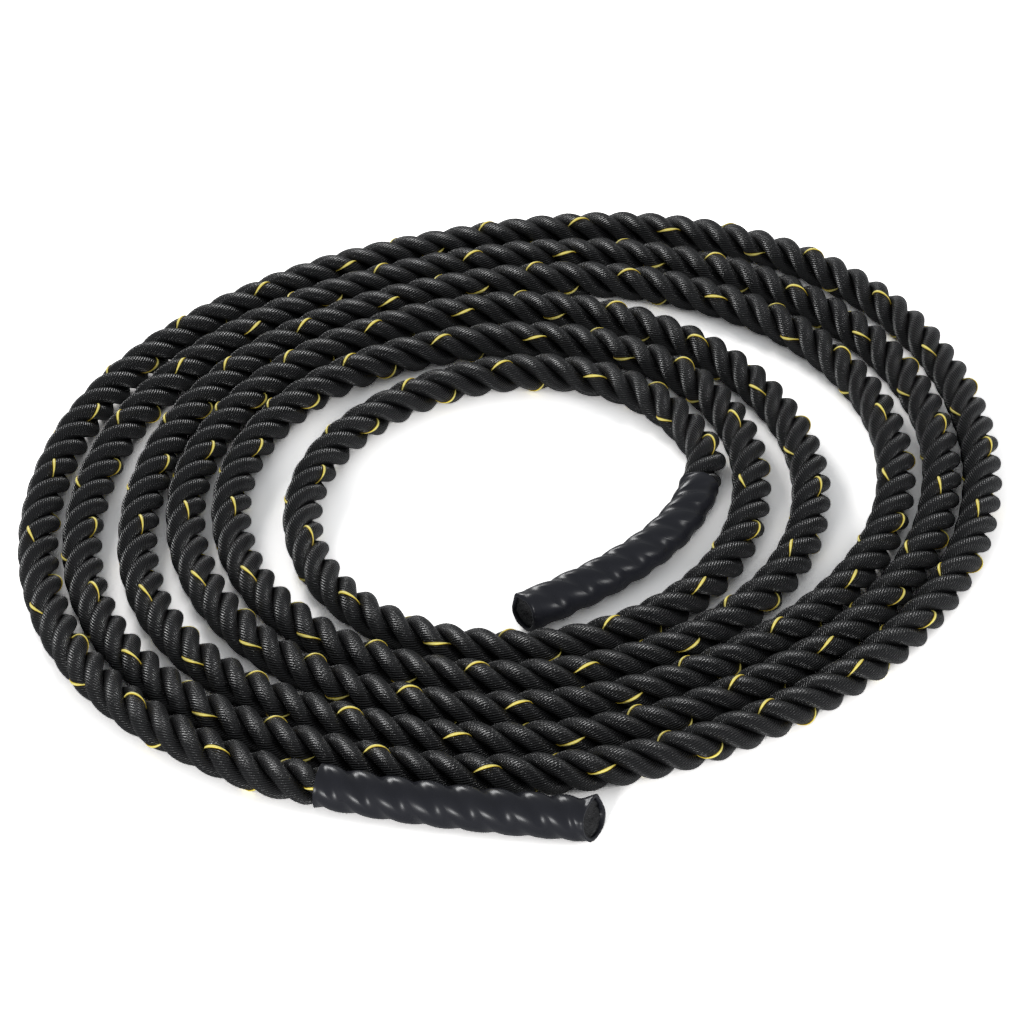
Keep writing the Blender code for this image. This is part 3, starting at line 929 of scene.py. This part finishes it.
def makeLight(name):
    bearing, elevation, watts, width = light[name]
    flat = polar(math.cos(math.radians(elevation)), math.radians(bearing))
    away = Vector((*flat, math.sin(math.radians(elevation))))
    lamp = bpy.data.lights.new(name, "AREA")
    lamp.shape = "DISK"
    lamp.size = width
    lamp.energy = watts
    holder = bpy.data.objects.new(name, lamp)
    holder.location = away * light["distance"]
    holder.rotation_euler = (-away).to_track_quat("-Z", "Y").to_euler()
    scene.collection.objects.link(holder)


def makeWorld():
    # white to the camera, and dimmer to everything that it lights
    world = bpy.data.worlds.new("paleStudio")
    world.use_nodes = True
    tree = world.node_tree
    background = tree.nodes["Background"]
    background.inputs["Color"].default_value = (*light["sky"], 1)
    rays = tree.nodes.new("ShaderNodeLightPath")
    strength = mathNode(tree, "MULTIPLY_ADD", rays.outputs["Is Camera Ray"], 1 - light["world"], light["world"])
    tree.links.new(strength, background.inputs["Strength"])
    scene.world = world


def makeFloor():
    reach = light["floorReach"]
    corners = [(-reach, -reach, 0), (reach, -reach, 0), (reach, reach, 0), (-reach, reach, 0)]
    mesh = bpy.data.meshes.new("floor")
    mesh.from_pydata(corners, [], [(0, 1, 2, 3)])
    material = bpy.data.materials.new("paleFloor")
    material.use_nodes = True
    tree = material.node_tree
    tree.nodes.remove(tree.nodes["Principled BSDF"])
    diffuse = tree.nodes.new("ShaderNodeBsdfDiffuse")
    rays = tree.nodes.new("ShaderNodeLightPath")
    mix = tree.nodes.new("ShaderNodeMix")
    mix.data_type = "RGBA"
    mix.inputs["A"].default_value = (light["floorColour"],) * 3 + (1,)
    mix.inputs["B"].default_value = (*light["floorSeenAs"], 1)
    tree.links.new(rays.outputs["Is Camera Ray"], mix.inputs["Factor"])
    tree.links.new(mix.outputs["Result"], diffuse.inputs["Color"])
    tree.links.new(diffuse.outputs["BSDF"], tree.nodes["Material Output"].inputs["Surface"])
    mesh.materials.append(material)
    floor = bpy.data.objects.new("floor", mesh)
    scene.collection.objects.link(floor)


makeCamera()
makeWorld()
for lampName in ("front", "right", "backLeft"):
    makeLight(lampName)
makeFloor()
print("camera, lights and floor: made")

blackYarn = blackYarnMaterial()
strands = [makeStrand(number, blackYarn) for number in range(rope["strands"])]
tracerPiece = makeTracer(tracerMaterial())
print("strands and tracer: made")

shrunkPlastic, meltedYarn = sleeveMaterial(), meltedMaterial()
outerSleeve = makeSleeve("outer_sleeve", "outer", outerMouthAt, -1, shrunkPlastic)
innerSleeve = makeSleeve("inner_sleeve", "inner", innerMouthAt, 1, shrunkPlastic)
outerEnd = makeMeltedEnd("outer_melted_end", "outer", outerMouthAt, -1, meltedYarn)
innerEnd = makeMeltedEnd("inner_melted_end", "inner", innerMouthAt, 1, meltedYarn)
print("sleeves and ends: made")

for piece in [*strands, tracerPiece, outerSleeve, innerSleeve, outerEnd, innerEnd]:
    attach(piece, "root")
for number, piece in enumerate(strands):
    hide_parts(f"outer_strand_end_{number + 1}", f"inner_strand_end_{number + 1}")
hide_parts("rope")
for piece, node, slot in (
    (outerSleeve, "outer_grip_sleeve", "sleeve_plastic"),
    (innerSleeve, "inner_grip_sleeve", "sleeve_plastic"),
    (outerEnd, "outer_end_seal", "melted_yarn"),
    (innerEnd, "inner_end_seal", "melted_yarn"),
):
    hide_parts(node)

scene.view_settings.view_transform = "Standard"
for piece in bpy.data.objects:
    if piece.type == "MESH":
        print(piece.name, len(piece.data.polygons), "faces")
